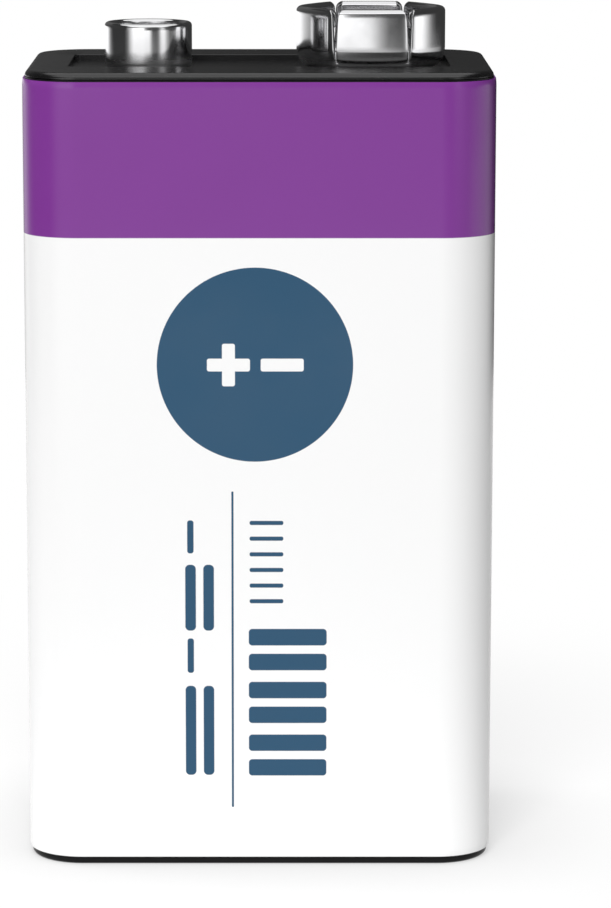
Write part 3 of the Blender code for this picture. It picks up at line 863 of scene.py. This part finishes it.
def press_hexagon(vert):
    """Presses the round cup into six sides, and leaves its middle round."""
    radius = math.hypot(vert.co.x, vert.co.y)
    share = (radius - SOCKET_ROUND_TO) / (SOCKET_HEXAGON_FROM - SOCKET_ROUND_TO)
    share = min(max(share, 0.0), 1.0)
    pressed = hexagon_radius(math.atan2(vert.co.y, vert.co.x)) / SOCKET_RADIUS
    factor = 1.0 + (pressed - 1.0) * share
    vert.co.x *= factor
    vert.co.y *= factor


def make_socket(finish):
    """The negative snap: a six-sided cup with a folded hem, slit at four corners."""
    bm = bmesh.new()
    strip = math.radians(SLOT_STRIP_ANGLE)
    slit_cup(bm, strip)
    for vert in bm.verts:
        open_slot(vert, strip / 2)
        press_hexagon(vert)
    bmesh.ops.recalc_face_normals(bm, faces=list(bm.faces))
    bmesh.ops.translate(bm, verts=list(bm.verts), vec=(SOCKET_X, 0.0, SNAP_Z))
    piece = new_piece("bright_socket", bm, finish, "snap_plating", "negative_snap")
    sheet = piece.modifiers.new("Sheet", "SOLIDIFY")
    sheet.thickness = SNAP_SHEET
    sheet.offset = -1.0
    sheet.use_even_offset = True
    worn = piece.modifiers.new("Worn edges", "BEVEL")
    worn.width = SOCKET_EDGE_WEAR
    worn.segments = 2
    worn.limit_method = "ANGLE"
    worn.angle_limit = math.radians(50)
    even_shading(piece)


def dress_hidden():
    """Finishes for the pieces that keep the frame's own solids."""
    board = {"Roughness": 0.5}
    card = {"Roughness": 0.8}
    strip = {"Metallic": 1.0, "Roughness": 0.35}
    can = {"Metallic": 1.0, "Roughness": 0.3}
    finishes = {
        "bottom_plate": plain("board", BOARD, board, scale=900.0, depth=0.004 * MM),
        "insulator": plain("fibre", FIBRE, card, scale=600.0, depth=0.01 * MM),
        "cell_liner": plain("paper", PAPER, card, scale=800.0, depth=0.01 * MM),
        "cell_link": plain("nickel", NICKEL_STRIP, strip, scale=1200.0, depth=0.002 * MM),
        "lead": plain("brass", BRASS, strip, scale=1200.0, depth=0.002 * MM),
        "cell_": plain("can", DRAWN_STEEL, can, scale=700.0, depth=0.002 * MM),
    }
    for name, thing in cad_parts.items():
        for word, finish in finishes.items():
            if word in name:
                thing.data.materials.clear()
                thing.data.materials.append(finish)
                break


def seen_rays(tree):
    """1 for what the eye, a reflection or a clear part sees, and 0 for light."""
    rays = ("Is Camera Ray", "Is Glossy Ray", "Is Transmission Ray")
    return any_of([tree.node("LightPath", output=ray) for ray in rays])


def pale_floor():
    """White to the eye, and shaded only near the battery."""
    matt = {"Roughness": 0.9, "Specular IOR Level": 0.0}
    pale = Finish("pale_floor", (FLOOR_SHADE, FLOOR_SHADE, FLOOR_SHADE), matt)
    seen = seen_rays(pale)
    pale.put("Base Color", seen * (FLOOR_SEEN_SHADE - FLOOR_SHADE) + FLOOR_SHADE)
    # The floor's glow is dimmed where the battery stands close by: a painted contact shadow.
    reach = {"Distance": CONTACT_REACH}
    near_things = 1 - pale.node("AmbientOcclusion", sockets=reach, output="AO")
    lift = seen * FLOOR_LIFT * (1 - near_things * CONTACT_SHADE)
    glow = pale.node("Emission", FULL_WHITE, lift)
    near = pale.node("AddShader", Value(pale, pale.shader.outputs["BSDF"]), glow)
    far = pale.node("Emission", FULL_WHITE, seen)
    away = pale.node("VectorMath", pale.place, settings={"operation": "LENGTH"}, output="Value")
    pale.show(pale.node("MixShader", ramp_up(away, *SHADOW_REACH), near, far))
    return pale.material


def make_floor():
    """A wide white floor, just under the battery's foot."""
    bm = bmesh.new()
    bmesh.ops.create_grid(bm, x_segments=1, y_segments=1, size=FLOOR_REACH)
    bmesh.ops.translate(bm, verts=list(bm.verts), vec=(0.0, 0.0, -FLOOR_DROP))
    floor = new_thing("floor", bm, pale_floor())


def make_world():
    """Even soft light all round, and plain white to the eye and in reflections."""
    world = bpy.data.worlds.new("studio")
    bpy.context.scene.world = world
    world.use_nodes = True
    sky = Tree(world.node_tree)
    background = sky.nodes["Background"]
    background.inputs["Color"].default_value = FULL_WHITE
    level = seen_rays(sky) * (1.0 - WORLD_LEVEL) + WORLD_LEVEL
    sky.fill(background.inputs["Strength"], level)


def softbox(name, azimuth, elevation, distance, size, level):
    """A large lamp that faces the battery. Its level is its brightness as seen."""
    width, height = size
    lamp = bpy.data.lights.new(name, "AREA")
    lamp.shape = "RECTANGLE"
    lamp.size = width
    lamp.size_y = height
    lamp.energy = level * math.pi * width * height
    turn, rise = math.radians(azimuth), math.radians(elevation)
    out = Vector((math.sin(turn), -math.cos(turn), 0.0)) * math.cos(rise)
    out.z = math.sin(rise)
    thing = bpy.data.objects.new(name, lamp)
    thing.location = Vector((0.0, 0.0, LAMP_AIM)) + out * distance
    thing.rotation_euler = out.to_track_quat("Z", "Y").to_euler()
    thing.visible_glossy = False
    bpy.context.scene.collection.objects.link(thing)


def panel_levels(turn, panels):
    """How bright these panels are in each direction. A turn of 0.5 is the front."""
    stops = [(0.5 + azimuth / 360.0, level) for azimuth, level in panels]
    return turn.tree.node("ValToRGB", turn, settings={"stops": stops}) * PANEL_WHITE


def studio_panels():
    """Bands of light and dark panels, one above another."""
    paint = bpy.data.materials.new("studio_panels")
    paint.use_nodes = True
    tree = Tree(paint.node_tree)
    x, y, z = tree.node("SeparateXYZ", tree.node("TexCoord", output="Object")).outputs()
    turn = x.math("ARCTAN2", y * -1.0) * (1 / math.tau) + 0.5
    level = panel_levels(turn, LOWEST_PANELS)
    for foot, blur, panels in PANEL_BANDS:
        share = ramp_up(z, foot - blur, foot + blur)
        level = level * (1 - share) + share * panel_levels(turn, panels)
    tree.show(tree.node("Emission", FULL_WHITE, level))
    return paint


def make_surround():
    """Panels round the battery that only its plating and gloss show."""
    bm = bmesh.new()
    bmesh.ops.create_cone(
        bm,
        cap_ends=False,
        segments=128,
        radius1=SURROUND_RADIUS,
        radius2=SURROUND_RADIUS,
        depth=SURROUND_HEIGHT,
    )
    bmesh.ops.translate(bm, verts=list(bm.verts), vec=(0.0, 0.0, SURROUND_HEIGHT / 2))
    surround = new_thing("surround", bm, studio_panels())
    surround.visible_camera = False
    surround.visible_diffuse = False
    surround.visible_shadow = False


def make_camera():
    """Stands where the photograph was taken from."""
    lens = bpy.data.cameras.new("camera")
    lens.sensor_width = SENSOR
    lens.lens = FOCAL_PIXELS * SENSOR / max(FRAME_SIZE)
    lens.shift_x = (FRAME_SIZE[0] / 2 - MIDDLE_COLUMN) / max(FRAME_SIZE)
    lens.clip_start = 0.01
    lens.clip_end = 20.0
    camera = bpy.data.objects.new("camera", lens)
    camera.location = CAMERA_PLACE
    camera.rotation_euler = (math.radians(90 - CAMERA_PITCH), 0.0, 0.0)
    bpy.context.scene.collection.objects.link(camera)
    bpy.context.scene.camera = camera


make_camera()
make_world()
make_floor()
make_surround()
softbox("key", azimuth=-8.0, elevation=47.5, distance=0.42, size=(0.14, 0.14), level=35.5)
softbox("left_fill", azimuth=-108.0, elevation=22.0, distance=0.4, size=(0.2, 0.3), level=4.2)

film = printed_film()
make_label(film)
make_lap(film)
make_case(gloss_black("case_lacquer", BLACK, roughness=0.3, index=1.22))
make_cap(gloss_black("cap_moulding", DEEP_BLACK, roughness=0.25, index=1.72))
bright = plating("snap_plating", BRIGHT_NICKEL, roughness=0.09)
make_stud(bright)
make_socket(bright)
tin = plating("rivet_plating", TIN, roughness=0.2)
make_rivet("stud_rivet", tin, "positive_rivet", STUD_X, STUD_DISH_FLOOR + RIVET_GAP)
make_rivet("socket_rivet", tin, "negative_rivet", SOCKET_X, SNAP_SHEET + RIVET_GAP)
dress_hidden()

bpy.context.scene.view_settings.view_transform = "Standard"
